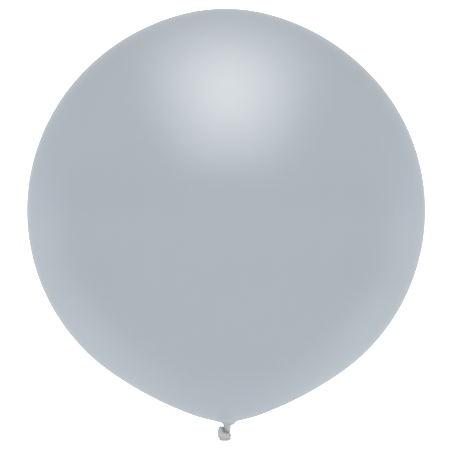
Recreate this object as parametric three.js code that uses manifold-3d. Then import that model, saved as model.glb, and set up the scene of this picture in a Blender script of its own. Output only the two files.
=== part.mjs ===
// A giant round latex balloon, inflated and tied off by hand: a thin round envelope that draws in to a
// pleated neck, the overhand knot in that neck, and the flattened tail with its rolled mouth bead.
// Millimetres, +Z up. The origin is the middle of the envelope's widest circle. -Y is the front.
import * as THREE from "three";
import { mergeVertices } from "three/addons/utils/BufferGeometryUtils.js";
import Module from "manifold-3d";

const wasm = await Module();
wasm.setup();

// Envelope
const ENVELOPE_RADIUS = 450;
const WALL = 10;
// The outline from the crown to the base, as arcs that run smoothly into each other. A slope of 0 is
// level, at the crown, 90 is upright, at the widest circle, and past 90 the outline runs inwards.
const CROWN_ARC = { radius: 386, untilSlope: 14.4 };
const SHOULDER_ARC = { radius: 483.5, untilSlope: 48.1 };
const BELLY_UNTIL_SLOPE = 145.5;
const BASE_ARC = { radius: 820, untilSlope: 159 };
const HEM_RADIUS = 350;
const SLOPE_STEP = 6;
const ROUND_STEPS = 60;

// Neck
const ROOT_RADIUS = 16;
const ROOT_FILLET = 5.5;
// The fillet is a quarter circle in steps, given as degrees from the stem, and starts a little under the rim.
const FILLET_TURNS = [75, 50, 25, 0];
const FILLET_DROP = 0.1;
const NECK_TOP_RADIUS = 9.5;
const NECK_FOOT_RADIUS = 8.4;
const NECK_FOOT_Z = -492;
// How far the stem stands to the right of the envelope's axis, and how far its foot bends back.
const NECK_SWAY = { top: 2.4, foot: 2.2 };
const NECK_FOOT_BACK = 3;
const PLEATS = 9;
const PLEAT_DEPTH = 0.16;
const STEPS_PER_PLEAT = 6;
const SEAT_GAP = 0.3;

// Knot
const STRAND_RADIUS = 6;
const STRAND_SIDES = 10;
const COLLAR_HEIGHT = 5;
// The middle line of the tied strand, x, y, z: down from the neck, round the left, across the front to
// the lower right, round the back, and out through its own loop to the front.
const STRAND_ROUTE = [
  [2.2, 3, -492.3],
  [2, 4.5, -498],
  [-0.5, 6, -504],
  [-6, 3.5, -509.4],
  [-12.6, -1, -508],
  [-13.6, -3.4, -500.5],
  [-13.3, -5, -493.4],
  [-12, -8, -490.6],
  [-12, -11.4, -494],
  [-11.4, -11.2, -502],
  [-4.5, -10.6, -508.2],
  [3.6, -7, -509.6],
  [5.6, 2, -508],
  [2, 9.5, -502.6],
  [-4.5, 11.5, -496],
  [-10, 6.5, -496.4],
  [-9, -0.5, -503],
  [-4, -6.5, -510],
];
// The strand is extruded in pieces, each lapping over the next by this share of the whole route.
const STRAND_PIECES = 6;
const STEPS_PER_PIECE = 9;
const PIECE_LAP = 0.01;
// The film packed tight in the middle of the knot.
const CORE = { x: -3.4, y: 2.4, z: -503, radius: 8.4 };

// Tail and mouth bead
const TAIL_CENTRE = { x: -2.6, y: -10.4 };
const TAIL_THICKNESS = 7;
const TAIL_TOP = { z: -509, halfWidth: 9.4 };
const TAIL_RIM = { z: -516.2, halfWidth: 12 };
const FLARE_STEPS = 6;
const POCKET = { wall: 2.2, depth: 6 };
const BEAD_RADIUS = 1.7;
const BEAD_SIDES = 8;
const BEAD_STEPS = 24;

// Latex colours, as the photo shows them. Stretched film has a pearl gloss, and thick film is matt.
const STRETCHED = { roughness: 0.3, metalness: 0.3 };
const THICK = { roughness: 0.6, metalness: 0 };
const FILM = new THREE.MeshStandardMaterial({ color: 0xadb5bd, ...STRETCHED });
const NECK_FILM = new THREE.MeshStandardMaterial({ color: 0xb6bcc2, ...THICK });
const KNOT_FILM = new THREE.MeshStandardMaterial({ color: 0xb6bcc0, ...THICK });
const BEAD_FILM = new THREE.MeshStandardMaterial({ color: 0xbdc0c4, ...THICK });

const radians = THREE.MathUtils.degToRad;

function named(name, geometry, material) {
  const mesh = new THREE.Mesh(geometry, material);
  mesh.name = name;
  return mesh;
}

// A closed geometry as a manifold-3d solid.
function solidOf(geometry) {
  const bare = geometry.clone();
  bare.deleteAttribute("normal");
  bare.deleteAttribute("uv");
  const merged = mergeVertices(bare, 1e-4);
  return new wasm.Manifold(
    new wasm.Mesh({
      numProp: 3,
      vertProperties: merged.attributes.position.array,
      triVerts: new Uint32Array(merged.index.array),
    }),
  );
}

function geometryOf(solid) {
  const mesh = solid.getMesh();
  const geometry = new THREE.BufferGeometry();
  geometry.setAttribute("position", new THREE.BufferAttribute(mesh.vertProperties, 3));
  geometry.setIndex(new THREE.BufferAttribute(mesh.triVerts, 1));
  geometry.computeVertexNormals();
  return geometry;
}

// The arcs of the outline, each with its centre as x and y, in a plane where y is the height.
function outlineArcs() {
  const arcs = [];
  let x = 0;
  let drop = 0;
  let slope = 0;
  const add = (radius, untilSlope) => {
    const from = radians(slope);
    const to = radians(untilSlope);
    arcs.push({ radius, from, to, x: x - radius * Math.sin(from), y: -drop - radius * Math.cos(from) });
    x += radius * (Math.sin(to) - Math.sin(from));
    drop += radius * (Math.cos(from) - Math.cos(to));
    slope = untilSlope;
  };
  add(CROWN_ARC.radius, CROWN_ARC.untilSlope);
  add(SHOULDER_ARC.radius, SHOULDER_ARC.untilSlope);
  const bellyRadius = (ENVELOPE_RADIUS - x) / (1 - Math.sin(radians(slope)));
  add(bellyRadius, BELLY_UNTIL_SLOPE);
  add(BASE_ARC.radius, BASE_ARC.untilSlope);
  add(HEM_RADIUS, 180);
  const equator = arcs[2].y;
  arcs.forEach((arc) => {
    arc.y -= equator;
  });
  return arcs;
}

// The outline, set in by a wall, from the axis at the crown to a radius at the base.
function outline(inset, endRadius) {
  const arcs = outlineArcs();
  const hem = arcs[arcs.length - 1];
  hem.to = Math.PI - Math.asin((endRadius - hem.x) / (hem.radius - inset));
  const points = [];
  arcs.forEach((arc) => {
    const steps = Math.max(1, Math.round((arc.to - arc.from) / radians(SLOPE_STEP)));
    for (let i = points.length ? 1 : 0; i <= steps; i += 1) {
      const slope = arc.from + ((arc.to - arc.from) * i) / steps;
      const reach = arc.radius - inset;
      points.push(new THREE.Vector2(arc.x + reach * Math.sin(slope), arc.y + reach * Math.cos(slope)));
    }
  });
  points[0].x = 0;
  return points;
}

// A profile of radius and height turned about the Z axis.
function turned(points, steps) {
  return new THREE.LatheGeometry(points, steps).rotateX(Math.PI / 2);
}

function envelope() {
  const outside = outline(0, ROOT_RADIUS + SEAT_GAP);
  const inside = outline(WALL, ROOT_RADIUS + SEAT_GAP);
  return named("envelope", turned([...inside, ...outside.reverse()], ROUND_STEPS), FILM);
}

// The neck: a plug that fills the hole in the envelope's base, a fillet, and a pleated stem, dented where
// the knot presses on it.
function neck() {
  const rim = outline(0, ROOT_RADIUS).pop();
  const roof = outline(WALL, ROOT_RADIUS).pop();
  const points = [new THREE.Vector2(0, roof.y), new THREE.Vector2(ROOT_RADIUS, roof.y), rim];
  const fillet = new THREE.Vector2(NECK_TOP_RADIUS + ROOT_FILLET, rim.y - ROOT_FILLET - FILLET_DROP);
  for (const turn of FILLET_TURNS) {
    const angle = radians(turn);
    points.push(
      new THREE.Vector2(fillet.x - ROOT_FILLET * Math.cos(angle), fillet.y + ROOT_FILLET * Math.sin(angle)),
    );
  }
  const stemTop = points[points.length - 1].y;
  for (const share of [0.5, 1]) {
    points.push(
      new THREE.Vector2(
        THREE.MathUtils.lerp(NECK_TOP_RADIUS, NECK_FOOT_RADIUS, share),
        THREE.MathUtils.lerp(stemTop, NECK_FOOT_Z, share),
      ),
    );
  }
  points.push(new THREE.Vector2(0, NECK_FOOT_Z));
  const geometry = turned(points.reverse(), PLEATS * STEPS_PER_PLEAT);
  const position = geometry.attributes.position;
  for (let i = 0; i < position.count; i += 1) {
    const x = position.getX(i);
    const y = position.getY(i);
    const onStem = THREE.MathUtils.smoothstep(rim.y - position.getZ(i), 0, ROOT_FILLET);
    const fold = 0.5 - 0.5 * Math.cos(PLEATS * Math.atan2(y, x));
    const shrink = 1 - PLEAT_DEPTH * fold * onStem;
    const share = (rim.y - position.getZ(i)) / (rim.y - NECK_FOOT_Z);
    const sway = onStem * THREE.MathUtils.lerp(NECK_SWAY.top, NECK_SWAY.foot, share);
    const back = onStem * NECK_FOOT_BACK * share;
    position.setXY(i, x * shrink + sway, y * shrink + back);
  }
  return named("neck", geometryOf(solidOf(geometry).subtract(knotSolid(SEAT_GAP))), NECK_FILM);
}

// A stretch of a longer curve.
class Stretch extends THREE.Curve {
  constructor(whole, from, to) {
    super();
    Object.assign(this, { whole, from, to });
  }

  getPoint(t, target) {
    return this.whole.getPoint(THREE.MathUtils.lerp(this.from, this.to, t), target);
  }
}

// The tied strand and its collar as one solid, grown by a clearance where it cuts a neighbour.
function knotSolid(grow) {
  const route = new THREE.CatmullRomCurve3(STRAND_ROUTE.map((p) => new THREE.Vector3(...p)));
  const section = new THREE.Shape();
  section.absarc(0, 0, STRAND_RADIUS + grow, 0, 2 * Math.PI);
  const collar = new THREE.CylinderGeometry(
    NECK_FOOT_RADIUS * (1 - PLEAT_DEPTH / 2) + grow,
    STRAND_RADIUS + grow,
    COLLAR_HEIGHT,
    2 * STRAND_SIDES,
  );
  collar.rotateX(Math.PI / 2);
  collar.translate(NECK_SWAY.foot, NECK_FOOT_BACK, NECK_FOOT_Z - SEAT_GAP - COLLAR_HEIGHT / 2);
  const core = new THREE.SphereGeometry(CORE.radius, STRAND_SIDES, STRAND_SIDES);
  core.translate(CORE.x, CORE.y, CORE.z);
  let solid = solidOf(collar).add(solidOf(core));
  for (let i = 0; i < STRAND_PIECES; i += 1) {
    const from = Math.max(0, i / STRAND_PIECES - PIECE_LAP);
    const to = Math.min(1, (i + 1) / STRAND_PIECES + PIECE_LAP);
    const piece = new THREE.ExtrudeGeometry(section, {
      curveSegments: STRAND_SIDES,
      steps: STEPS_PER_PIECE,
      extrudePath: new Stretch(route, from, to),
    });
    solid = solid.add(solidOf(piece));
  }
  return solid;
}

function knot() {
  return named("knot", geometryOf(knotSolid(0)), KNOT_FILM);
}

// A round funnel that flares from the knot to the mouth, pressed flat front and back.
function flatFunnel(top, rim, thickness) {
  const points = [new THREE.Vector2(0, top.z)];
  for (let i = 0; i <= FLARE_STEPS; i += 1) {
    const share = i / FLARE_STEPS;
    const flare = Math.sin((share * Math.PI) / 2);
    const radius = THREE.MathUtils.lerp(top.halfWidth, rim.halfWidth, flare);
    points.push(new THREE.Vector2(radius, THREE.MathUtils.lerp(top.z, rim.z, share)));
  }
  points.push(new THREE.Vector2(0, rim.z));
  const slab = new THREE.BoxGeometry(4 * rim.halfWidth, thickness, 4 * rim.halfWidth);
  slab.translate(0, 0, rim.z);
  return solidOf(turned(points.reverse(), 4 * STRAND_SIDES)).intersect(solidOf(slab));
}

function tail() {
  const flared = flatFunnel(TAIL_TOP, TAIL_RIM, TAIL_THICKNESS);
  const pocketTop = { z: TAIL_RIM.z + POCKET.depth, halfWidth: TAIL_TOP.halfWidth - POCKET.wall };
  const pocketRim = { z: TAIL_RIM.z - 1, halfWidth: TAIL_RIM.halfWidth - POCKET.wall };
  const pocket = flatFunnel(pocketTop, pocketRim, TAIL_THICKNESS - 2 * POCKET.wall);
  const solid = flared.subtract(pocket).translate([TAIL_CENTRE.x, TAIL_CENTRE.y, 0]);
  return named("tail", geometryOf(solid.subtract(knotSolid(SEAT_GAP))), KNOT_FILM);
}

// The rolled bead: a ring stretched to the tail's rim, just under it.
function mouthBead() {
  const endRadius = (TAIL_THICKNESS - BEAD_RADIUS) / 2;
  const ring = new THREE.TorusGeometry(endRadius, BEAD_RADIUS, BEAD_SIDES, BEAD_STEPS);
  const position = ring.attributes.position;
  const stretch = TAIL_RIM.halfWidth - TAIL_THICKNESS / 2;
  for (let i = 0; i < position.count; i += 1) {
    const x = position.getX(i);
    position.setX(i, x + Math.sign(x) * stretch);
  }
  ring.translate(TAIL_CENTRE.x, TAIL_CENTRE.y, TAIL_RIM.z - SEAT_GAP - BEAD_RADIUS);
  return named("mouth_bead", ring, BEAD_FILM);
}

const balloon = new THREE.Group();
balloon.add(envelope(), neck(), knot(), tail(), mouthBead());

export default balloon;
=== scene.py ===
"""A giant round latex balloon, blown up and tied off by hand, in a white studio.

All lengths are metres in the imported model's frame: +Z up, -Y the front, and the origin in the
middle of the envelope's widest circle. The film is drawn as rings round the Z axis, from the crown
down to the foot of the neck. The knot is a strand carried along its route, and the tail and its
bead are rings carried down to the mouth.
"""

import sys

import logging
import math
from dataclasses import dataclass, field
from enum import Enum
from typing import Any, NamedTuple

import bpy
import numpy as np
from numpy.typing import NDArray
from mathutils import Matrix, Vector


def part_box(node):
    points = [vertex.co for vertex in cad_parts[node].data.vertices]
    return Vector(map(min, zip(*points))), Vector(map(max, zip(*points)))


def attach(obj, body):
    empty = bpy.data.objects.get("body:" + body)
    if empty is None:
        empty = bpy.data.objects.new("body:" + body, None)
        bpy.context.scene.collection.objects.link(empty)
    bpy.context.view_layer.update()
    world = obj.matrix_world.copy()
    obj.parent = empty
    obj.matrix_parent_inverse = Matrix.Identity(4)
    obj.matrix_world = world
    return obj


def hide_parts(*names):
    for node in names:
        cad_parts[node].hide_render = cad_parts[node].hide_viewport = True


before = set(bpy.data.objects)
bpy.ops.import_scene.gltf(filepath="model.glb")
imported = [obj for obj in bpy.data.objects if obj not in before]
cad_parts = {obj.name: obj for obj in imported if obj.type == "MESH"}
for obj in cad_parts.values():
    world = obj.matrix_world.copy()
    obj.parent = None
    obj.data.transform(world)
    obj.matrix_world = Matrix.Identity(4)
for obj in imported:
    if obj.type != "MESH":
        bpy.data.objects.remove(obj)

Floats = NDArray[np.float64]
Indices = NDArray[np.int64]
Colour = tuple[float, float, float]
Socket = bpy.types.NodeSocket

LOG = logging.getLogger("balloon")
MM = 0.001
FULL_TURN = 2.0 * math.pi
UP = np.array([0.0, 0.0, 1.0])
WHITE = (1.0, 1.0, 1.0)
DENSITY = "film_density"
BODY = "root"
# Nearly all of Blender's noise lies between these two values.
NOISE_LOW, NOISE_HIGH = 0.3, 0.7
# A Mix node has a set of sockets for each kind of data. These are the numbers of its colour set.
MIX_SHARE, MIX_FIRST, MIX_SECOND, MIX_BLEND = 0, 6, 7, 2


class End(Enum):
    """How a stack of rings is closed at one end."""

    POINT = "one vertex in the middle of the last ring"
    JOINED = "the last ring meets the first one"


def smooth(value: Floats, low: float, high: float) -> Floats:
    """Rises smoothly from 0 at low to 1 at high, as 3t squared minus 2t cubed.

    Args:
        value: where it is read.
        low: where the rise starts.
        high: where it ends.

    Returns:
        The share of the rise at each value.
    """
    share = np.clip((value - low) / (high - low), 0.0, 1.0)
    return share * share * (3.0 - 2.0 * share)


def full_turn(steps: int) -> Floats:
    """Evenly spaced angles round one full turn."""
    return np.arange(steps) * FULL_TURN / steps


@dataclass(frozen=True)
class Wave:
    """A sine along one turn: its height, how many times it runs, and its phase in radians."""

    height: float
    times: float
    phase: float = 0.0

    def at(self, angle: Floats) -> Floats:
        """The height times the sine of the phase plus so many times the angle."""
        return self.height * np.sin(self.times * angle + self.phase)


def ring_quads(rows: int, around: int, joined: bool) -> Indices:
    """Quads between neighbouring rings of one grid.

    Vertex (row, column) has the number row x around + column, and the columns close on themselves.

    Args:
        rows: how many rings there are.
        around: how many vertices a ring has.
        joined: whether the last ring is joined to the first.

    Returns:
        One row of four vertex numbers for each quad, facing out where the rings run downwards and
        turn anticlockwise as seen from above.
    """
    row = np.arange(rows if joined else rows - 1)[:, None]
    column = np.arange(around)[None, :]
    below = (row + 1) % rows
    beside = (column + 1) % around
    corners = (
        row * around + column,
        below * around + column,
        below * around + beside,
        row * around + beside,
    )
    grids = [np.broadcast_to(corner, (row.size, around)) for corner in corners]
    return np.stack(grids, axis=-1).reshape(-1, 4)


def fan(ring_start: int, around: int, middle: int, flip: bool) -> Indices:
    """Triangles from one ring to the vertex in its middle.

    Args:
        ring_start: the number of the ring's first vertex.
        around: how many vertices the ring has.
        middle: the number of the vertex in the middle.
        flip: turns the triangles over, for the lower end of a stack.

    Returns:
        One row of three vertex numbers for each triangle.
    """
    here = ring_start + np.arange(around)
    beside = ring_start + (np.arange(around) + 1) % around
    third = np.full(around, middle)
    order = (beside, here, third) if flip else (here, beside, third)
    return np.stack(order, axis=-1)


def mesh_object(name: str, vertices: Floats, faces: list[Indices]) -> bpy.types.Object:
    """Puts arrays of vertices and faces into a new smooth-shaded object at the origin.

    Args:
        name: the object's name.
        vertices: one row of x, y and z for each vertex.
        faces: arrays of vertex numbers, each array with one face size.

    Returns:
        The object, linked to the scene.
    """
    mesh = bpy.data.meshes.new(name)
    mesh.vertices.add(len(vertices))
    mesh.vertices.foreach_set("co", vertices.astype(np.float32).ravel())
    corners = np.concatenate([f.ravel() for f in faces]).astype(np.int32)
    sizes = np.concatenate([np.full(len(f), f.shape[1]) for f in faces]).astype(np.int32)
    starts = np.concatenate([[0], np.cumsum(sizes)[:-1]]).astype(np.int32)
    mesh.loops.add(len(corners))
    mesh.loops.foreach_set("vertex_index", corners)
    mesh.polygons.add(len(sizes))
    mesh.polygons.foreach_set("loop_start", starts)
    mesh.polygons.foreach_set("loop_total", sizes)
    mesh.update(calc_edges=True)
    mesh.validate()
    shade_smooth(mesh)
    obj = bpy.data.objects.new(name, mesh)
    bpy.context.scene.collection.objects.link(obj)
    return obj


def shade_smooth(mesh: bpy.types.Mesh) -> None:
    """Marks every face of a mesh as smooth."""
    mesh.polygons.foreach_set("use_smooth", np.ones(len(mesh.polygons), dtype=bool))
    mesh.update()


def ring_object(name: str, rings: Floats, start: End, end: End) -> bpy.types.Object:
    """A closed surface through a stack of rings.

    Args:
        name: the object's name.
        rings: positions as rows x around x 3.
        start: how the first ring is closed.
        end: how the last ring is closed.

    Returns:
        The new object.
    """
    rows, around = rings.shape[:2]
    vertices = rings.reshape(-1, 3)
    faces = [ring_quads(rows, around, start is End.JOINED)]
    if start is End.POINT:
        faces.append(fan(0, around, len(vertices), flip=False))
        vertices = np.vstack([vertices, rings[0].mean(axis=0)])
    if end is End.POINT:
        faces.append(fan((rows - 1) * around, around, len(vertices), flip=True))
        vertices = np.vstack([vertices, rings[-1].mean(axis=0)])
    return mesh_object(name, vertices, faces)


def crease(obj: bpy.types.Object, ring: int, around: int) -> None:
    """Keeps the edges along one ring of a stack, and along the next ring, sharp.

    Args:
        obj: the stack's object.
        ring: the first ring's number.
        around: how many vertices a ring has.
    """
    ends = np.empty(len(obj.data.edges) * 2, dtype=np.int32)
    obj.data.edges.foreach_get("vertices", ends)
    start, end = (ends // around).reshape(-1, 2).T
    sharp = (start == end) & ((start == ring) | (start == ring + 1))
    obj.data.edges.foreach_set("use_edge_sharp", sharp)


def dress(
    piece: bpy.types.Object, density: Floats | float, finish: bpy.types.Material
) -> bpy.types.Object:
    """Stores how dense a piece's film is, and gives it its finish.

    Args:
        piece: the piece.
        density: 0 where the film is stretched and 1 where it isn't, for each vertex or for all.
        finish: the film's material.

    Returns:
        The piece.
    """
    values = np.broadcast_to(density, len(piece.data.vertices))
    attribute = piece.data.attributes.new(DENSITY, "FLOAT", "POINT")
    attribute.data.foreach_set("value", np.clip(values, 0.0, 1.0).astype(np.float32))
    piece.data.materials.append(finish)
    return piece


def vertices_of(obj: bpy.types.Object) -> Floats:
    """Reads the vertices of an object's mesh.

    Args:
        obj: the object.

    Returns:
        One row of x, y and z for each vertex.
    """
    flat = np.empty(len(obj.data.vertices) * 3, dtype=np.float32)
    obj.data.vertices.foreach_get("co", flat)
    return flat.reshape(-1, 3).astype(float)


@dataclass(frozen=True)
class Pattern:
    """A cloudy pattern: clouds per metre, how many finer octaves lie over them, and its depth."""

    scale: float
    detail: float
    depth: float


class Nodes:
    """A tree of nodes, with short ways to add nodes and wire them."""

    def __init__(self, tree: bpy.types.NodeTree) -> None:
        """Works on a material's or the world's tree."""
        self.tree = tree

    def add(
        self, kind: str, inputs: dict[str | int, Any] | None = None, **settings: Any
    ) -> bpy.types.Node:
        """Adds one node.

        Args:
            kind: the node's type.
            inputs: a value, or a socket to wire in, for each input named or numbered here.
            **settings: the node's own properties.

        Returns:
            The node.
        """
        node = self.tree.nodes.new(kind)
        for key, value in settings.items():
            setattr(node, key, value)
        self.feed(node, inputs or {})
        return node

    def feed(self, node: bpy.types.Node, inputs: dict[str | int, Any]) -> None:
        """Sets or wires a node's inputs.

        Args:
            node: the node.
            inputs: a value, or a socket to wire in, for each input named or numbered here.
        """
        for key, value in inputs.items():
            socket = node.inputs[key]
            if isinstance(value, Socket):
                self.tree.links.new(value, socket)
            else:
                socket.default_value = value

    def math(self, operation: str, *values: Any) -> Socket:
        """Adds an operation on one or two numbers, and returns its output."""
        inputs = dict(enumerate(values))
        return self.add("ShaderNodeMath", inputs, operation=operation).outputs[0]

    def vector(self, operation: str, *values: Any) -> Socket:
        """Adds an operation on one or two vectors, and returns its output."""
        inputs = dict(enumerate(values))
        return self.add("ShaderNodeVectorMath", inputs, operation=operation).outputs[0]

    def scaled(self, colour: Any, factor: Any) -> Socket:
        """Multiplies a colour or vector by a number."""
        inputs = {"Vector": colour, "Scale": factor}
        return self.add("ShaderNodeVectorMath", inputs, operation="SCALE").outputs["Vector"]

    def length(self, first: Socket, second: Socket) -> Socket:
        """The length of the arrow that has these two numbers as its sides."""
        arrow = self.add("ShaderNodeCombineXYZ", {"X": first, "Y": second}).outputs[0]
        return self.add("ShaderNodeVectorMath", {0: arrow}, operation="LENGTH").outputs["Value"]

    def parts(self, vector: Socket) -> tuple[Socket, ...]:
        """A vector's X, Y and Z."""
        return tuple(self.add("ShaderNodeSeparateXYZ", {"Vector": vector}).outputs)

    def span(self, value: Any, low: float, high: float, start: float, end: float) -> Socket:
        """Runs from start to end as the value runs from low to high, and stays there."""
        reach = {"Value": value, "From Min": low, "From Max": high, "To Min": start, "To Max": end}
        return self.add("ShaderNodeMapRange", reach).outputs["Result"]


class Shader(Nodes):
    """A material's nodes."""

    def __init__(self, name: str) -> None:
        """Starts a material that holds only a Principled shader and its output.

        Args:
            name: the material's name.
        """
        self.material = bpy.data.materials.new(name)
        self.material.use_nodes = True
        super().__init__(self.material.node_tree)
        self.surface = self.tree.nodes["Principled BSDF"]

    def object_place(self) -> Socket:
        """The socket of Object coordinates, in metres."""
        return self.add("ShaderNodeTexCoord").outputs["Object"]

    def pattern(self, where: Socket, look: Pattern, middle: float) -> Socket:
        """Lays out a cloudy pattern, up to its depth below and above the middle value.

        Args:
            where: the socket that gives the coordinates.
            look: the pattern.
            middle: the value that it varies round.

        Returns:
            The socket that gives the value.
        """
        inputs = {"Vector": where, "Scale": look.scale, "Detail": look.detail}
        clouds = self.add("ShaderNodeTexNoise", inputs).outputs["Fac"]
        low, high = middle - look.depth, middle + look.depth
        return self.span(clouds, NOISE_LOW, NOISE_HIGH, low, high)

    def mix(self, share: Socket, first: Colour, second: Colour) -> Socket:
        """Blends two colours.

        Args:
            share: how much of the second colour there is, from 0 to 1.
            first: the colour at 0.
            second: the colour at 1.

        Returns:
            The socket that gives the blend.
        """
        inputs = {MIX_SHARE: share, MIX_FIRST: (*first, 1.0), MIX_SECOND: (*second, 1.0)}
        return self.add("ShaderNodeMix", inputs, data_type="RGBA").outputs[MIX_BLEND]


@dataclass(frozen=True)
class PearlLatex:
    """Latex film with a pearl pigment, satin and softly metallic, without a clear skin over it."""

    name: str
    stretched: Colour = (0.338, 0.388, 0.433)
    dense: Colour = (0.47, 0.50, 0.53)
    dense_from: float = 0.1
    edge: Colour = (0.585, 0.58, 0.59)
    metallic: float = 0.42
    skin: float = 0.0
    roughness: float = 0.286
    dense_metallic: float = 0.0
    dense_roughness: float = 0.6
    clouds: Pattern = Pattern(5.0, 2.0, 0.006)
    streaks: Pattern = Pattern(34.0, 3.0, 0.006)
    streak_stretch: float = 0.12
    flakes: Pattern = Pattern(2600.0, 1.0, 0.02)
    gloss: Pattern = Pattern(45.0, 3.0, 0.008)
    grain: Pattern = Pattern(900.0, 2.0, 0.5)
    grain_height: float = 0.000012

    def make(self) -> bpy.types.Material:
        """Builds the material.

        The film turns matt as its density grows, and from dense_from on its colour runs from
        stretched to dense. Over that lie slow clouds, streaks drawn out along Z as the dipped film
        runs down, and fine flakes. The roughness varies by the gloss pattern, and a fine grain
        raises the surface.

        Returns:
            The material.
        """
        sheet = Shader(self.name)
        place = sheet.object_place()
        density = sheet.add("ShaderNodeAttribute", attribute_name=DENSITY).outputs["Fac"]
        share = sheet.span(density, self.dense_from, 1.0, 0.0, 1.0)
        colour = sheet.mix(share, self.stretched, self.dense)
        metallic = sheet.span(density, 0.0, 1.0, self.metallic, self.dense_metallic)
        matt = sheet.span(density, 0.0, 1.0, 0.0, self.dense_roughness - self.roughness)

        drawn_out = {"Vector": place, "Scale": (1.0, 1.0, self.streak_stretch)}
        runs = sheet.add("ShaderNodeMapping", drawn_out).outputs["Vector"]
        clouds = sheet.pattern(place, self.clouds, 1.0)
        streaks = sheet.pattern(runs, self.streaks, 1.0)
        flakes = sheet.pattern(place, self.flakes, 1.0)
        shade = sheet.math("MULTIPLY", sheet.math("MULTIPLY", clouds, streaks), flakes)

        roughness = sheet.pattern(place, self.gloss, self.roughness)
        grain = sheet.pattern(place, self.grain, 0.5)
        bump = sheet.add("ShaderNodeBump", {"Height": grain, "Distance": self.grain_height})
        look = {
            "Base Color": sheet.scaled(colour, shade),
            "Metallic": metallic,
            "Specular IOR Level": self.skin,
            "Specular Tint": (*self.edge, 1.0),
            "Roughness": sheet.math("ADD", roughness, matt),
            "Normal": bump.outputs["Normal"],
        }
        sheet.feed(sheet.surface, look)
        return sheet.material


ROOT_SHADE = (0.425, 0.463, 0.502)
ENVELOPE_FILM = PearlLatex("envelope_film", dense=ROOT_SHADE)
# The neck starts as the envelope's root ends: matt, and of the same colour. Down the neck it turns
# lighter as the film thickens: partly the thicker film's own tone, and partly a painted sheen that
# stands in for the gloss on its pleats.
NECK_FILM_AND_SHEEN = PearlLatex(
    "neck_film",
    stretched=ROOT_SHADE,
    dense=(0.51, 0.54, 0.57),
    dense_from=0.0,
    metallic=0.0,
    roughness=0.6,
)
KNOT_FILM = PearlLatex("knot_film", dense_roughness=0.45)
# The bead's film is painted a little lighter than the knot's: a painted light that lifts the bead
# out of the shade under the knot.
LIT_BEAD_FILM = PearlLatex("bead_film", dense=(0.51, 0.53, 0.55), dense_roughness=0.38)


@dataclass(frozen=True)
class Bend:
    """One arc of the film's outline.

    The slope is the way that the outline runs: 0 level outwards, 90 straight down, past 90 inwards.
    A negative radius bends the outline back outwards.
    """

    radius: float
    until: float
    rows: int


@dataclass(frozen=True)
class Outline:
    """Rows of the film's outline: distance from the axis, height and slope in radians."""

    reach: Floats
    height: Floats
    slope: Floats

    def cut(self, first: int, last: int) -> "Outline":
        """The rows from first up to, but not with, last."""
        rows = slice(first, last)
        return Outline(self.reach[rows], self.height[rows], self.slope[rows])


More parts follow.
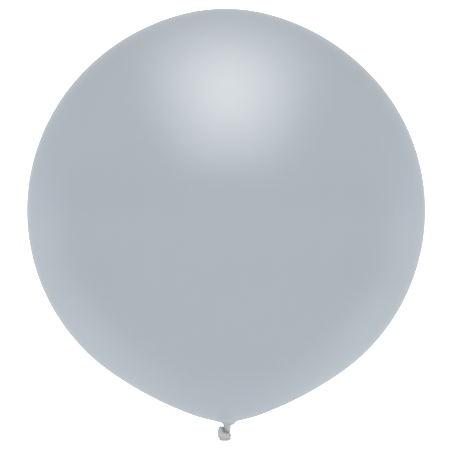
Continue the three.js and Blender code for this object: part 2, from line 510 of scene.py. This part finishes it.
@dataclass
class Film:
    """The blown-up film, from the crown to the foot of the neck."""

    radius: float
    root_radius: float = 16.0 * MM
    stem_radius: float = 9.3 * MM
    foot_radius: float = 7.4 * MM
    foot_height: float = -505.0 * MM
    foot_pinch: float = 2.2 * MM
    pinch_from: float = 0.6
    stem_rows: int = 22
    # The turn from the hem into the stem, and two shares of its radius: how far out from the stem
    # the hem ends, and how far below the root the film has settled into the neck.
    fillet: float = 5.5 * MM
    fillet_until: float = 91.5
    fillet_rows: int = 14
    hem_end: float = 0.75
    settled: float = 1.6
    sway_top: float = 2.4 * MM
    sway_foot: float = 2.7 * MM
    foot_back: float = 5.0 * MM
    crown_lean: float = 2.1 * MM
    lean_from: float = 0.4
    slump_left: float = 1.3 * MM
    slump_right: float = 7.0 * MM
    slump_width: float = 5.7 * MM
    gathers: int = 11
    gather_depth: float = 0.55 * MM
    gather_reach: float = 26.0 * MM
    pleat_depth: float = 1.5 * MM
    # Two waves push the pleats to and fro, and one is added to their height. A pleat lies on the
    # outline where it is pleat_level high.
    slow_push: Wave = Wave(0.16, 2.0, 1.3)
    quick_push: Wave = Wave(0.10, 3.0, -0.6)
    pleat_height: float = 0.8
    pleat_swell: Wave = Wave(0.2, 2.0, -0.9)
    pleat_level: float = 0.7
    around: int = 264
    # The outline's arcs for an envelope of this radius.
    drawn_radius: float = 450.0 * MM
    crown: Bend = Bend(386.0 * MM, 14.4, 22)
    shoulder: Bend = Bend(483.5 * MM, 48.1, 34)
    belly_until: float = 145.5
    belly_rows: int = 96
    base: Bend = Bend(820.0 * MM, 159.0, 34)
    hem_radius: float = 350.0 * MM
    hem_rows: int = 46
    hem_crowding: float = 1.8
    outline: Outline = field(init=False)
    root_row: int = field(init=False)

    def __post_init__(self) -> None:
        """Traces the outline, and finds the root's row among those below the shoulder."""
        self.outline = self.trace()
        above = self.crown.rows + self.shoulder.rows
        off_root = np.abs(self.outline.reach[above:] - self.root_radius)
        self.root_row = above + int(np.argmin(off_root))

    def trace(self) -> Outline:
        """Runs the outline's arcs one after the other, then the stem, which the knot pinches in.

        On an arc of radius R from slope a to slope b, the reach grows by R(sin b - sin a) and the
        height by R(cos b - cos a). The belly's radius follows from the envelope's, and the hem's
        slope from where the fillet starts.

        Returns:
            The rows of the outline, with the widest circle at height 0.
        """
        size = self.radius / self.drawn_radius
        crown = Bend(self.crown.radius * size, self.crown.until, self.crown.rows)
        shoulder = Bend(self.shoulder.radius * size, self.shoulder.until, self.shoulder.rows)
        rise = math.sin(math.radians(crown.until))
        turn = math.sin(math.radians(shoulder.until))
        wide = crown.radius * rise + shoulder.radius * (turn - rise)
        belly = Bend((self.radius - wide) / (1.0 - turn), self.belly_until, self.belly_rows)
        inward = math.sin(math.radians(belly.until))
        left = self.radius - belly.radius * (1.0 - inward)
        fillet_start = self.stem_radius + self.fillet * self.hem_end
        base = Bend(self.base.radius * size, self.base.until, self.base.rows)
        hem_from = math.sin(math.radians(base.until))
        left = left - base.radius * (inward - hem_from)
        hem_radius = self.hem_radius * size
        flat = hem_from - (left - fillet_start) / hem_radius
        hem = Bend(hem_radius, 180.0 - math.degrees(math.asin(flat)), self.hem_rows)
        back = Bend(-self.fillet, self.fillet_until, self.fillet_rows)
        reach, height, slope = [np.zeros(1)], [np.zeros(1)], [np.zeros(1)]
        equator = 0.0
        for bend in (crown, shoulder, belly, base, hem, back):
            share = np.linspace(0.0, 1.0, bend.rows + 1)
            if bend is hem:
                share = 1.0 - (1.0 - share) ** self.hem_crowding
            angles = slope[-1][-1] + (math.radians(bend.until) - slope[-1][-1]) * share
            start_reach, start_height, start = reach[-1][-1], height[-1][-1], angles[0]
            if bend is belly:
                equator = start_height - bend.radius * math.cos(start)
            outwards = bend.radius * (np.sin(angles) - math.sin(start))
            upwards = bend.radius * (np.cos(angles) - math.cos(start))
            reach.append((start_reach + outwards)[1:])
            height.append((start_height + upwards)[1:])
            slope.append(angles[1:])
        heights = np.concatenate(height)
        down = np.linspace(0.0, 1.0, self.stem_rows + 1)[1:]
        stem_top = heights[-1] - equator
        stem = stem_top + (self.foot_height - stem_top) * down
        stem_reach = reach[-1][-1] + (self.foot_radius - reach[-1][-1]) * down
        stem_reach = stem_reach - self.foot_pinch * smooth(down, self.pinch_from, 1.0)
        return Outline(
            np.concatenate([*reach, stem_reach])[1:],
            np.concatenate([heights - equator, stem])[1:],
            np.concatenate([*slope, np.full(stem.size, math.pi / 2.0)])[1:],
        )

    def folds(self, angle: Floats) -> Floats:
        """Uneven pleats round the neck: round ridges with sharp creases between them.

        The pleats follow the size of a cosine, one to each half of its wave. Its angle is pushed
        to and fro so that no two pleats are alike.

        Args:
            angle: the angle round the axis.

        Returns:
            0 in the creases and 1 on the ridges.
        """
        uneven = angle + self.slow_push.at(angle) + self.quick_push.at(angle)
        height = self.pleat_height + self.pleat_swell.at(angle)
        return height * np.abs(np.cos(0.5 * self.gathers * uneven))

    def rings(self, rows: Outline, inset: float) -> Floats:
        """The film's rings, gathered towards the neck.

        A ring is a circle, moved along the outline's normal by the folds. Their depth fades up the
        base as e to the minus distance over gather_reach, and grows down the neck to pleat_depth.
        Near the neck the film slumps on both sides, much more on the right, by a bell curve of the
        distance. The neck sways to the right, and bends back on its way down. The crown leans a
        little to the left, from lean_from of the radius up.

        Args:
            rows: the outline's rows to use.
            inset: how far inside the outline the rings lie.

        Returns:
            Positions as rows x around x 3.
        """
        angle = full_turn(self.around)
        root_height = self.outline.height[self.root_row]
        beyond = np.clip(rows.reach - self.root_radius, 0.0, None)
        on_neck = smooth(root_height - rows.height, 0.0, self.fillet * self.settled)
        depth = self.gather_depth * np.exp(-beyond / self.gather_reach) * (rows.height < 0.0)
        depth = depth + (self.pleat_depth - self.gather_depth) * on_neck
        push = depth[:, None] * (self.folds(angle)[None, :] - self.pleat_level) - inset
        sideways = 0.5 * np.cos(angle)
        sag = self.slump_right * (0.5 + sideways) ** 2 + self.slump_left * (0.5 - sideways) ** 2
        near = np.exp(-((beyond / self.slump_width) ** 2)) * (rows.height < 0.0)
        slump = (near * (1.0 - on_neck))[:, None] * sag[None, :]
        out = rows.reach[:, None] + push * np.sin(rows.slope)[:, None]
        up = rows.height[:, None] + push * np.cos(rows.slope)[:, None] - slump
        neck_height = root_height - self.foot_height
        down_neck = np.clip((root_height - rows.height) / neck_height, 0.0, 1.0)
        sway = on_neck * (self.sway_top + (self.sway_foot - self.sway_top) * down_neck)
        lean = self.crown_lean * smooth(rows.height / self.radius, self.lean_from, 1.0)
        x = out * np.cos(angle)[None, :] + (sway - lean)[:, None]
        y = out * np.sin(angle)[None, :] + (self.foot_back * down_neck**2)[:, None]
        return np.stack([x, y, np.broadcast_to(up, x.shape)], axis=-1)


@dataclass
class Envelope:
    """The inflated film as a thin closed shell, open only at its root."""

    film: Film
    wall: float = 0.8 * MM
    inner_step: int = 4
    base_depth: float = 60.0 * MM
    # The denser spot at the crown, and the share of its radius where it is at its densest.
    crown_spot: float = 13.0 * MM
    crown_core: float = 0.4
    crown_density: float = 0.22
    root_density: float = 1.0

    def build(self, finish: bpy.types.Material) -> bpy.types.Object:
        """Builds the shell: out from the crown to the root, and back inside to the crown.

        The density fades up the base as e to the minus distance from the root over base_depth, and
        falls smoothly from the crown to the edge of its spot.

        Args:
            finish: the film's material.

        Returns:
            The finished piece.
        """
        outside = self.film.outline.cut(0, self.film.root_row + 1)
        rows = np.arange(0, self.film.root_row + 1, self.inner_step)
        rows[-1] = self.film.root_row
        inside = Outline(outside.reach[rows], outside.height[rows], outside.slope[rows])
        outer = self.film.rings(outside, 0.0)
        inner = self.film.rings(inside, self.wall)[::-1]
        rings = np.concatenate([outer, inner])
        piece = ring_object("balloon_envelope", rings, End.POINT, End.POINT)
        crease(piece, len(outer) - 1, self.film.around)
        place = vertices_of(piece)
        reach = np.hypot(place[:, 0], place[:, 1])
        near_root = self.root_density * np.exp(-(reach - self.film.root_radius) / self.base_depth)
        off_crown = smooth(reach, self.crown_core * self.crown_spot, self.crown_spot)
        near_crown = self.crown_density * (1.0 - off_crown)
        return dress(piece, np.where(place[:, 2] < 0.0, near_root, near_crown), finish)


@dataclass
class Neck:
    """The pleated neck under the envelope."""

    film: Film
    plug: float = 6.0 * MM
    thickens_over: float = 10.0 * MM

    def build(self, finish: bpy.types.Material) -> bpy.types.Object:
        """Builds the neck from the envelope's root down into the knot, closed at both ends.

        The film starts as thin as the envelope's root, and thickens on its way down.

        Args:
            finish: the film's material.

        Returns:
            The finished piece.
        """
        last = self.film.outline.reach.size
        rows = self.film.outline.cut(self.film.root_row, last)
        stem = self.film.rings(rows, 0.0)
        lid = stem[:1] + self.plug * UP
        piece = ring_object("balloon_neck", np.concatenate([lid, stem]), End.POINT, End.POINT)
        crease(piece, 0, self.film.around)
        thick = smooth(rows.height[0] - rows.height, 0.0, self.thickens_over)
        by_ring = np.repeat(np.concatenate([[0.0], thick]), self.film.around)
        lid_middle, foot_middle = 0.0, 1.0
        return dress(piece, np.concatenate([by_ring, [lid_middle, foot_middle]]), finish)


class Place(NamedTuple):
    """A place, in millimetres."""

    x: float
    y: float
    z: float


class Waypoint(NamedTuple):
    """A place on the strand's middle line and the strand's radius there, in millimetres."""

    x: float
    y: float
    z: float
    radius: float


KNOT_ROUTE = (
    Waypoint(2.0, 5.5, -497.0, 5.0),
    Waypoint(-0.5, 6.0, -504.0, 5.8),
    Waypoint(-6.0, 3.5, -509.6, 6.2),
    Waypoint(-12.6, -1.0, -508.4, 6.6),
    Waypoint(-13.9, -4.2, -500.5, 5.6),
    Waypoint(-13.8, -6.4, -492.6, 3.9),
    Waypoint(-13.2, -8.6, -489.2, 3.0),
    Waypoint(-13.2, -10.6, -494.5, 4.2),
    Waypoint(-11.6, -11.0, -502.5, 5.8),
    Waypoint(-4.5, -10.6, -507.1, 7.0),
    Waypoint(3.6, -7.0, -508.5, 6.2),
    Waypoint(5.5, 2.0, -508.0, 6.0),
    Waypoint(2.0, 9.5, -502.6, 6.0),
    Waypoint(-4.5, 11.5, -496.0, 6.0),
    Waypoint(-10.0, 6.5, -494.3, 5.9),
    Waypoint(-9.0, -0.5, -503.0, 5.6),
    Waypoint(-4.0, -6.5, -510.1, 5.9),
)


def spline(points: Floats, steps: int) -> Floats:
    """A smooth curve through points.

    Between two points it is the Catmull-Rom cubic of those two and their neighbours.

    Args:
        points: one row for each point, with any number of columns.
        steps: rows between two points.

    Returns:
        The curve's rows.
    """
    ends = np.vstack([2.0 * points[0] - points[1], points, 2.0 * points[-1] - points[-2]])
    a, b, c, d = ends[:-3, None], ends[1:-2, None], ends[2:-1, None], ends[3:, None]
    t = (np.arange(steps) / steps)[None, :, None]
    squared = 2.0 * a - 5.0 * b + 4.0 * c - d
    cubed = 3.0 * (b - c) + d - a
    curve = 0.5 * (2.0 * b + (c - a) * t + squared * t**2 + cubed * t**3)
    return np.vstack([curve.reshape(-1, points.shape[1]), points[-1:]])


def along(path: Floats) -> tuple[Floats, Floats, Floats]:
    """Directions that travel along a path without twisting.

    Each side direction is the one before it, made square to the path's new direction.

    Args:
        path: one row of x, y and z for each place.

    Returns:
        The path's direction, and the two directions across it.
    """
    forward = np.gradient(path, axis=0)
    forward /= np.linalg.norm(forward, axis=1, keepdims=True)
    side = np.zeros_like(path)
    last = np.array([1.0, 0.0, 0.0])
    for row, way in enumerate(forward):
        last = last - way * (last @ way)
        last = last / np.linalg.norm(last)
        side[row] = last
    return forward, side, np.cross(forward, side)


@dataclass(frozen=True)
class Melt:
    """Joins closed surfaces that cross into one closed surface without inner faces.

    The joint surface is found on cells of the voxel's size, and eased a few times over.
    """

    voxel: float = 0.28 * MM
    ease: float = 0.5
    ease_rounds: int = 4

    def join(self, name: str, parts: list[bpy.types.Object]) -> bpy.types.Object:
        """Melts objects into one.

        Args:
            name: the new piece's name.
            parts: the objects to join, which are deleted.

        Returns:
            The joined piece.
        """
        vertices, faces, start = [], [], 0
        for part in parts:
            vertices.append(vertices_of(part))
            faces += [tuple(start + v for v in face.vertices) for face in part.data.polygons]
            start += len(part.data.vertices)
            bpy.data.objects.remove(part)
        mesh = bpy.data.meshes.new(name)
        mesh.from_pydata(np.vstack(vertices).tolist(), [], faces)
        rough = bpy.data.objects.new(name + "_rough", mesh)
        bpy.context.scene.collection.objects.link(rough)
        remesh = rough.modifiers.new("one_skin", "REMESH")
        remesh.mode = "VOXEL"
        remesh.voxel_size = self.voxel
        ease = rough.modifiers.new("ease", "SMOOTH")
        ease.factor = self.ease
        ease.iterations = self.ease_rounds
        bpy.context.view_layer.update()
        melted = rough.evaluated_get(bpy.context.evaluated_depsgraph_get())
        final = bpy.data.meshes.new_from_object(melted)
        bpy.data.objects.remove(rough)
        final.name = name
        shade_smooth(final)
        piece = bpy.data.objects.new(name, final)
        bpy.context.scene.collection.objects.link(piece)
        return piece


@dataclass(frozen=True)
class Fold:
    """Folds along a strand: how many run round it, how fast they turn, and their phase."""

    times: float
    turns: float
    phase: float = 0.0

    def at(self, angle: Floats, twist: Floats) -> Floats:
        """The cosine of so many times the angle, plus the turns times the twist, and the phase."""
        return np.cos(self.times * angle + self.turns * twist + self.phase)


@dataclass
class Knot:
    """The overhand knot: a crumpled strand, pulled tight round itself."""

    steps: int = 14
    around: int = 56
    # The broad folds are creased at fold_level below their ridges, and the narrow ones lie on them.
    fold_depth: float = 0.11
    fold_level: float = 0.6
    broad: Fold = Fold(2.5, 1.5)
    narrow: Fold = Fold(7.0, -2.2, 0.8)
    narrow_share: float = 0.45
    twist_length: float = 22.0 * MM
    wrinkle_depth: float = 0.30 * MM
    wrinkle_length: float = 2.1 * MM
    core: Waypoint = Waypoint(-2.0, 3.5, -504.5, 7.5)
    core_rings: int = 24
    core_around: int = 32
    core_opening: float = 0.04
    skin: Melt = Melt()

    def strand(self) -> Floats:
        """The strand's rings along the route.

        A ring's radius is the route's, times lengthways folds that turn slowly as they go, plus
        crosswise wrinkles where the strand is squeezed on the inside of a bend.

        Returns:
            Positions as rows x around x 3.
        """
        curve = spline(np.array(KNOT_ROUTE) * MM, self.steps)
        path, radius = curve[:, :3], curve[:, 3]
        forward, side, lift = along(path)
        step = np.linalg.norm(np.diff(path, axis=0), axis=1)
        run = np.concatenate([[0.0], np.cumsum(step)])
        bend = np.gradient(forward, axis=0) / np.gradient(run)[:, None]
        angle = full_turn(self.around)[None, :]
        twist = run[:, None] / self.twist_length
        folds = np.abs(self.broad.at(angle, twist)) - self.fold_level
        folds = folds + self.narrow_share * self.narrow.at(angle, twist)
        out = np.cos(angle)[..., None] * side[:, None] + np.sin(angle)[..., None] * lift[:, None]
        inner = np.clip(np.einsum("rad,rd->ra", out, bend) * radius[:, None], 0.0, 1.0)
        ripple = np.sin(FULL_TURN * run / self.wrinkle_length)[:, None]
        size = radius[:, None] * (1.0 + self.fold_depth * folds)
        size = size + ripple * inner * self.wrinkle_depth
        return path[:, None] + out * size[..., None]

    def packing(self) -> Floats:
        """The film packed in the middle of the knot, as the rings of a ball.

        The rings stop at the angle core_opening from each pole.

        Returns:
            Positions as rows x around x 3.
        """
        opening = self.core_opening
        polar = np.linspace(opening, math.pi - opening, self.core_rings)[:, None]
        angle = full_turn(self.core_around)[None, :]
        radius = self.core.radius * MM
        x = radius * np.sin(polar) * np.cos(angle) + self.core.x * MM
        y = radius * np.sin(polar) * np.sin(angle) + self.core.y * MM
        z = np.broadcast_to(radius * np.cos(polar), x.shape) + self.core.z * MM
        return np.stack([x, y, z], axis=-1)

    def build(self, finish: bpy.types.Material) -> bpy.types.Object:
        """Builds the strand and its packing as one closed surface.

        Args:
            finish: the knot's material.

        Returns:
            The finished piece.
        """
        strand = ring_object("strand", self.strand(), End.POINT, End.POINT)
        packing = ring_object("packing", self.packing(), End.POINT, End.POINT)
        return dress(self.skin.join("balloon_knot", [strand, packing]), 1.0, finish)


@dataclass
class Mouth:
    """The flattened end of the neck, and the rim that its bead is rolled on."""

    top: Place = Place(-3.4, -7.0, -506.5)
    rim: Place = Place(-2.3, -10.4, -518.7)
    top_width: float = 5.8 * MM
    top_depth: float = 5.0 * MM
    rim_width: float = 12.8 * MM
    rim_depth: float = 4.6 * MM
    left_lift: float = 1.4 * MM
    right_lift: float = 3.4 * MM
    lift_power: float = 3.0
    # The folds: how deep they are, how much of that is lost on the way to the rim, how many run
    # round, the wave that pushes them to and fro, and the height that lies on the ellipse.
    pucker: float = 0.15
    pucker_lost: float = 0.75
    fold_times: float = 4.5
    fold_push: Wave = Wave(0.5, 2.0)
    fold_level: float = 0.6
    rim_wave: Wave = Wave(0.5 * MM, 3.0, 0.7)
    around: int = 160

    def ring(self, share: Floats, inset: float) -> Floats:
        """Rings between the knot and the rim.

        A ring is an ellipse that widens in a quarter wave and is folded lengthways, less and less
        on the way down, where its front and back also take on a low wave. The rim's corners are
        lifted by a power of their distance from its middle.

        Args:
            share: 0 at the knot and 1 at the rim, for each ring.
            inset: how far inside the surface the rings lie.

        Returns:
            Positions as rings x around x 3.
        """
        angle = full_turn(self.around)[None, :]
        way = share[:, None]
        top, rim = np.array(self.top), np.array(self.rim)
        middle = (top + (rim - top) * way) * MM
        flare = np.sin(way * math.pi / 2.0)
        width = self.top_width + (self.rim_width - self.top_width) * flare - inset
        depth = self.top_depth + (self.rim_depth - self.top_depth) * way - inset
        folds = np.abs(np.cos(self.fold_times * angle + self.fold_push.at(angle)))
        folded = 1.0 + self.pucker * (1.0 - self.pucker_lost * way) * (folds - self.fold_level)
        across = np.cos(angle) * folded
        lift = np.where(across > 0.0, self.right_lift, self.left_lift)
        x = middle[:, :1] + width * across
        y = middle[:, 1:2] + depth * folded * np.sin(angle) + way * self.rim_wave.at(angle)
        z = middle[:, 2:] + way * lift * np.abs(np.clip(across, -1.0, 1.0)) ** self.lift_power
        return np.stack([x, y, z], axis=-1)


@dataclass
class Tail:
    """The flattened skirt under the knot, with the mouth pressed nearly shut in it."""

    mouth: Mouth
    wall: float = 1.1 * MM
    rows: int = 44
    pocket_rows: int = 16
    pocket_share: float = 0.45

    def build(self, finish: bpy.types.Material) -> bpy.types.Object:
        """Builds the skirt: down the outside to the rim, then back up inside the mouth.

        Args:
            finish: the tail's material.

        Returns:
            The finished piece.
        """
        outside = self.mouth.ring(np.linspace(0.0, 1.0, self.rows), 0.0)
        back_up = np.linspace(1.0, self.pocket_share, self.pocket_rows)
        inside = self.mouth.ring(back_up, self.wall)
        rings = np.concatenate([outside, inside])
        return dress(ring_object("balloon_tail", rings, End.POINT, End.POINT), 1.0, finish)


@dataclass
class Bead:
    """The rolled bead round the mouth."""

    mouth: Mouth
    radius: float = 1.65 * MM
    slow_swell: Wave = Wave(0.05, 3.0, 0.4)
    quick_swell: Wave = Wave(0.04, 7.0)
    around: int = 40
    layers: int = 5
    layer_depth: float = 0.05
    sunk: float = 0.5 * MM

    def build(self, finish: bpy.types.Material) -> bpy.types.Object:
        """Builds the bead: a roll of film carried round the rim.

        The roll's radius swells and thins slowly. Low ridges, as the size of a cosine with one
        ridge to each half of its wave, show its layers.

        Args:
            finish: the bead's material.

        Returns:
            The finished piece.
        """
        rim = self.mouth.ring(np.ones(1), self.sunk)[0]
        turn, way = full_turn(self.around), full_turn(len(rim))
        forward = np.roll(rim, -1, axis=0) - np.roll(rim, 1, axis=0)
        forward /= np.linalg.norm(forward, axis=1, keepdims=True)
        up = UP - forward * forward[:, 2:3]
        up /= np.linalg.norm(up, axis=1, keepdims=True)
        out = np.cross(forward, up)
        swell = 1.0 + self.slow_swell.at(way) + self.quick_swell.at(way)
        layers = np.abs(np.cos(0.5 * self.layers * turn[None, :] + way[:, None]))
        size = self.radius * swell[:, None] * (1.0 + self.layer_depth * layers)
        outwards = np.cos(turn)[None, :, None] * out[:, None]
        upwards = np.sin(turn)[None, :, None] * up[:, None]
        rings = rim[:, None] + (outwards + upwards) * size[..., None]
        return dress(ring_object("balloon_bead", rings, End.JOINED, End.JOINED), 1.0, finish)


@dataclass
class Studio:
    """A white studio: a glowing floor, light from all round, an overhead glow and the camera."""

    balloon_radius: float
    floor_height: float = -1.15
    floor_half: float = 60.0
    floor_tone: float = 0.55
    floor_clouds: Pattern = Pattern(3.0, 2.0, 0.01)
    floor_roughness: float = 0.8
    # The floor's own light: near the balloon it grows with the depth behind it, and from far_from
    # to far_to out it turns into a light that grows with the share of depth in the distance. Under
    # the balloon a little is added.
    near_front: float = 0.385
    near_back: float = 1.22
    near_from: float = -0.1
    near_to: float = 1.15
    far_front: float = 0.35
    far_back: float = 1.16
    far_low: float = 0.12
    far_high: float = 0.82
    far_from: float = 1.4
    far_to: float = 2.6
    under_glow: float = 0.12
    under_reach: float = 1.5
    # The light from all round, at the horizon and at the zenith, and the heights between which it
    # goes from one to the other.
    horizon: float = 1.06
    zenith: float = 0.96
    fade_from: float = 0.3
    fade_to: float = 0.9
    # The horizon behind the balloon: its extra light, the power of the share of depth that it
    # grows with, and the height where it ends.
    behind_light: float = 1.02
    behind_power: float = 1.5
    behind_height: float = 0.52
    # The overhead glow: its strength and warmth, and where its reflection stands on a shiny ball
    # of radius 1 seen from the front, with the distances from there where it starts and ends its
    # fall. It narrows downwards, and is cut off between the heights glow_low and glow_full. Behind
    # the balloon, between two shares of depth, it dims to dim_left.
    glow: float = 2.14
    glow_colour: Colour = (1.0, 0.85, 0.725)
    glow_x: float = 0.013
    glow_z: float = 0.579
    glow_core: float = 0.035
    glow_reach: float = 0.48
    glow_taper: float = 13.0
    glow_power: float = 4.0
    glow_widest: float = 0.7
    glow_low: float = 0.345
    glow_full: float = 0.455
    dim_from: float = 0.1
    dim_to: float = 0.95
    dim_left: float = 0.39
    # The lens and the sensor in millimetres, and how far the camera sees.
    lens: float = 400.0
    sensor: float = 36.0
    sight: float = 200.0
    # Where the envelope stands in a picture of this width, in pixels counted from 0.
    picture: float = 452.0
    envelope_x: float = 225.65
    envelope_y: float = 210.1
    envelope_half: float = 199.3

    def build(self) -> None:
        """Builds the floor, the lights and the camera."""
        self.floor()
        self.surroundings()
        self.camera()

    def floor(self) -> None:
        """A wide white floor well below the balloon, lit from underneath, more so at the back."""
        half = self.floor_half
        corners = np.array([[-half, -half], [half, -half], [half, half], [-half, half]])
        vertices = np.column_stack([corners, np.full(4, self.floor_height)])
        floor = mesh_object("floor", vertices, [np.array([[0, 1, 2, 3]])])
        sheet = Shader("white_floor")
        place = sheet.object_place()
        tone = sheet.pattern(place, self.floor_clouds, self.floor_tone)
        colour = sheet.add("ShaderNodeCombineColor", {"Red": tone, "Green": tone, "Blue": tone})
        across, depth, _ = sheet.parts(place)
        out = sheet.length(across, depth)
        near = sheet.span(depth, self.near_from, self.near_to, self.near_front, self.near_back)
        share = sheet.math("DIVIDE", depth, out)
        far = sheet.span(share, self.far_low, self.far_high, self.far_front, self.far_back)
        blend = sheet.span(out, self.far_from, self.far_to, 0.0, 1.0)
        under = sheet.span(out, 0.0, self.under_reach, self.under_glow, 0.0)
        beyond = sheet.math("MULTIPLY", sheet.math("SUBTRACT", far, near), blend)
        look = {
            "Base Color": colour.outputs["Color"],
            "Roughness": self.floor_roughness,
            "Emission Color": (*WHITE, 1.0),
            "Emission Strength": sheet.math("ADD", sheet.math("ADD", near, beyond), under),
        }
        sheet.feed(sheet.surface, look)
        floor.data.materials.append(sheet.material)

    def surroundings(self) -> None:
        """White light from all round, with more behind the balloon and the overhead glow added.

        The glow is laid out on the direction halfway between the light's own and straight ahead,
        which is where a ball seen from the front mirrors that light. It falls in a straight line
        with the distance from its middle there. To that distance a power of the distance aside is
        added, times glow_taper and the drop below glow_widest, so that the glow narrows downwards.
        """
        world = bpy.data.worlds.new("studio")
        bpy.context.scene.world = world
        world.use_nodes = True
        sky = Nodes(world.node_tree)
        way = sky.add("ShaderNodeTexCoord").outputs["Generated"]
        _, back, height = sky.parts(way)
        to_camera = (0.0, -1.0, 0.0)
        halfway = sky.vector("NORMALIZE", sky.vector("ADD", way, to_camera))
        mirror, _, tilt = sky.parts(halfway)
        aside = sky.math("SUBTRACT", mirror, self.glow_x)
        above = sky.math("SUBTRACT", tilt, self.glow_z)
        taper = sky.math("MULTIPLY", sky.math("SUBTRACT", self.glow_widest, tilt), self.glow_taper)
        steep = sky.math("POWER", sky.math("ABSOLUTE", aside), self.glow_power)
        narrowed = sky.math("MULTIPLY", steep, taper)
        distance = sky.math("ADD", sky.length(aside, above), narrowed)
        shine = sky.span(distance, self.glow_core, self.glow_reach, self.glow, 0.0)
        cut = sky.span(height, self.glow_low, self.glow_full, 0.0, 1.0)
        dim = sky.span(back, self.dim_from, self.dim_to, 1.0, self.dim_left)
        strength = sky.math("MULTIPLY", sky.math("MULTIPLY", shine, cut), dim)
        dome = sky.span(height, self.fade_from, self.fade_to, self.horizon, self.zenith)
        behind = sky.math("POWER", sky.math("MAXIMUM", back, 0.0), self.behind_power)
        low = sky.span(height, 0.0, self.behind_height, self.behind_light, 0.0)
        level = sky.math("ADD", dome, sky.math("MULTIPLY", behind, low))
        warm = sky.scaled(self.glow_colour, strength)
        light = sky.vector("ADD", sky.scaled(WHITE, level), warm)
        sky.feed(sky.tree.nodes["Background"], {"Color": light, "Strength": 1.0})

    def camera(self) -> None:
        """A long lens, level, as far off as makes the envelope as wide as in the picture.

        The lens sees half_frame to each side at distance 1. A ball of radius R at distance d shows
        as wide as R over the root of d squared minus R squared.
        """
        half_frame = self.sensor / 2.0 / self.lens
        tangent = half_frame * self.envelope_half / (self.picture / 2.0)
        distance = math.hypot(self.balloon_radius / tangent, self.balloon_radius)
        pixel = distance * 2.0 * half_frame / self.picture
        camera = bpy.data.cameras.new("camera")
        camera.lens = self.lens
        camera.sensor_width = self.sensor
        camera.clip_end = self.sight
        holder = bpy.data.objects.new("camera", camera)
        middle = (self.picture - 1.0) / 2.0
        across = (middle - self.envelope_x) * pixel
        down = (middle - self.envelope_y) * pixel
        holder.location = (across, -distance, -down)
        holder.rotation_euler = (math.pi / 2.0, 0.0, 0.0)
        bpy.context.scene.collection.objects.link(holder)
        bpy.context.scene.camera = holder
        bpy.context.scene.view_settings.view_transform = "Standard"


def place_piece(piece: bpy.types.Object, node: str) -> None:
    """Fixes a piece to the part, in place of the node that it stands for.

    Args:
        piece: the finished piece.
        node: the node's name.
    """
    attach(piece, BODY)
    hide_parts(node)
    triangles = sum(len(face.vertices) - 2 for face in piece.data.polygons)
    LOG.info("%s stands for %s with %d triangles", piece.name, node, triangles)


def main() -> None:
    """Builds the balloon and its studio."""
    logging.basicConfig(level=logging.INFO, format="%(name)s: %(message)s", stream=sys.stdout)
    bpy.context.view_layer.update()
    low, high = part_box("envelope")
    film = Film(radius=(high.x - low.x) / 2.0)
    mouth = Mouth()
    knot_film = KNOT_FILM.make()
    place_piece(Envelope(film).build(ENVELOPE_FILM.make()), "envelope")
    place_piece(Neck(film).build(NECK_FILM_AND_SHEEN.make()), "neck")
    place_piece(Knot().build(knot_film), "knot")
    place_piece(Tail(mouth).build(knot_film), "tail")
    place_piece(Bead(mouth).build(LIT_BEAD_FILM.make()), "mouth_bead")
    Studio(balloon_radius=film.radius).build()


if __name__ == "__main__":
    main()
